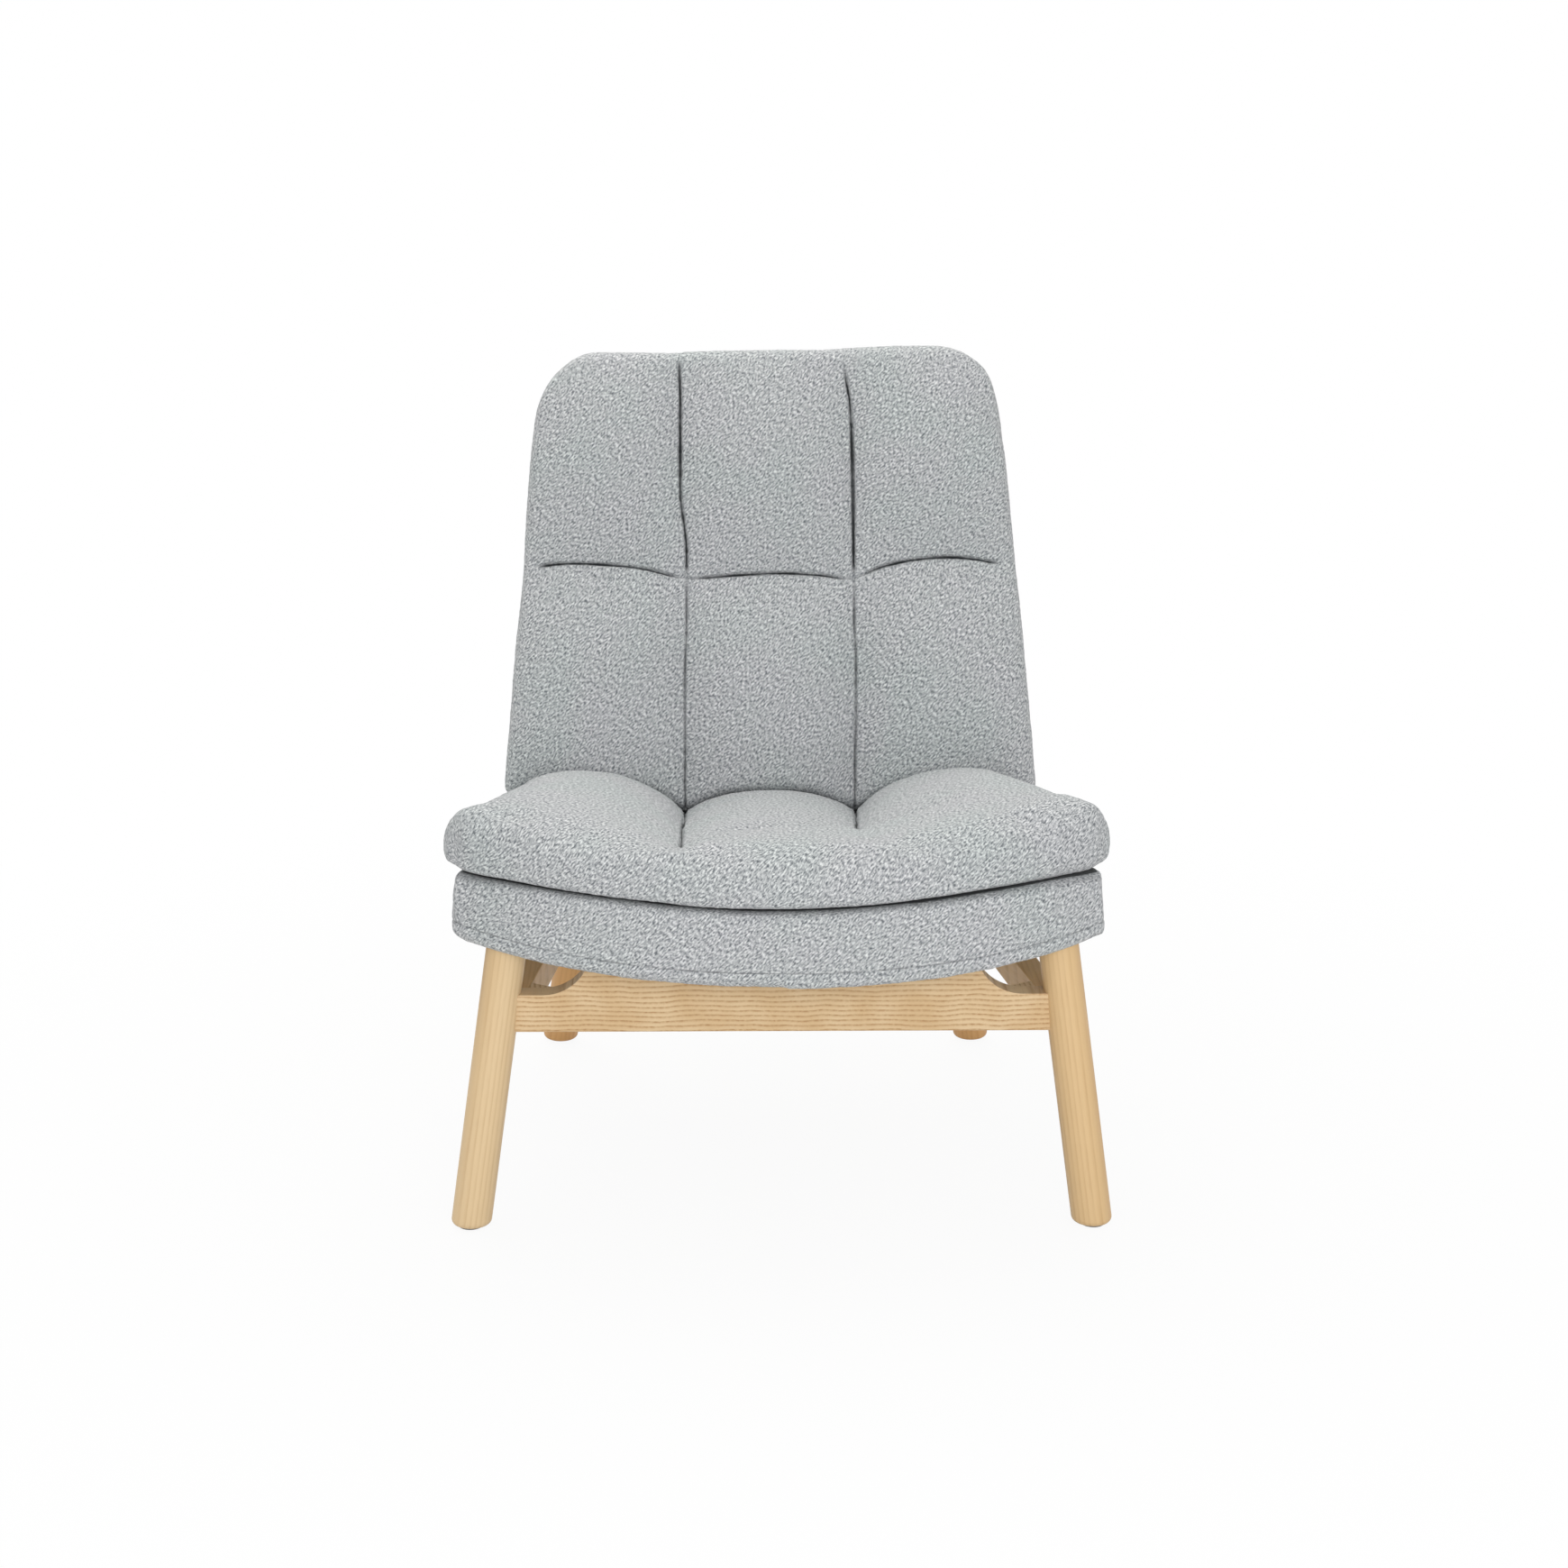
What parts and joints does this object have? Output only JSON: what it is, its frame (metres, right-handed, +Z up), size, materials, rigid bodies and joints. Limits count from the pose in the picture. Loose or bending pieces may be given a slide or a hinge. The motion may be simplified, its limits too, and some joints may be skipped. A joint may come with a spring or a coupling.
{
  "type": "occasional chair",
  "caption": "Low armless lounge chair with a quilted seat pad and back pad on an upholstered shell, held by a wooden frame with round splayed legs.",
  "frame": {"origin": "on the floor, under the middle of the chair's box", "axes": "+Z up; the front of the seat faces -Y; +X is to the right when looking at the front"},
  "size_m": [0.6926, 0.796, 0.8433],
  "materials": {
    "ash": "pale ash under clear matt lacquer, straight grain",
    "block_wood": "sawn beech, unfinished",
    "dowel_wood": "fluted beech dowel",
    "plywood": "moulded birch plywood",
    "screw_steel": "zinc plated steel",
    "bolt_steel": "zinc plated steel",
    "nail_steel": "bright steel",
    "glide_plastic": "dark hard plastic",
    "foam": "cut polyurethane foam wrapped in wadding",
    "shell_cloth": "light grey heathered twill, woven wool blend",
    "pad_cloth": "light grey heathered twill, woven wool blend"
  },
  "bodies": {
    "root": {"back_pad_cover": "pad_cloth", "back_pad_foam": "foam", "corner_block_front_left": "block_wood", "corner_block_front_right": "block_wood", "corner_block_rear_left": "block_wood", "corner_block_rear_right": "block_wood", "corner_block_screws": "screw_steel", "front_glide_left": "glide_plastic", "front_glide_right": "glide_plastic", "front_leg_left": "ash", "front_leg_right": "ash", "front_rail": "ash", "glide_nails": "nail_steel", "rail_dowels": "dowel_wood", "rear_glide_left": "glide_plastic", "rear_glide_right": "glide_plastic", "rear_leg_left": "ash", "rear_leg_right": "ash", "rear_rail": "ash", "seat_pad_cover": "pad_cloth", "seat_pad_foam": "foam", "shell_bolt_washers": "bolt_steel", "shell_bolts": "bolt_steel", "shell_cover": "shell_cloth", "shell_foam": "foam", "shell_plywood": "plywood", "shell_tee_nuts": "bolt_steel", "side_rail_left": "ash", "side_rail_right": "ash"}
  },
  "joints": []
}
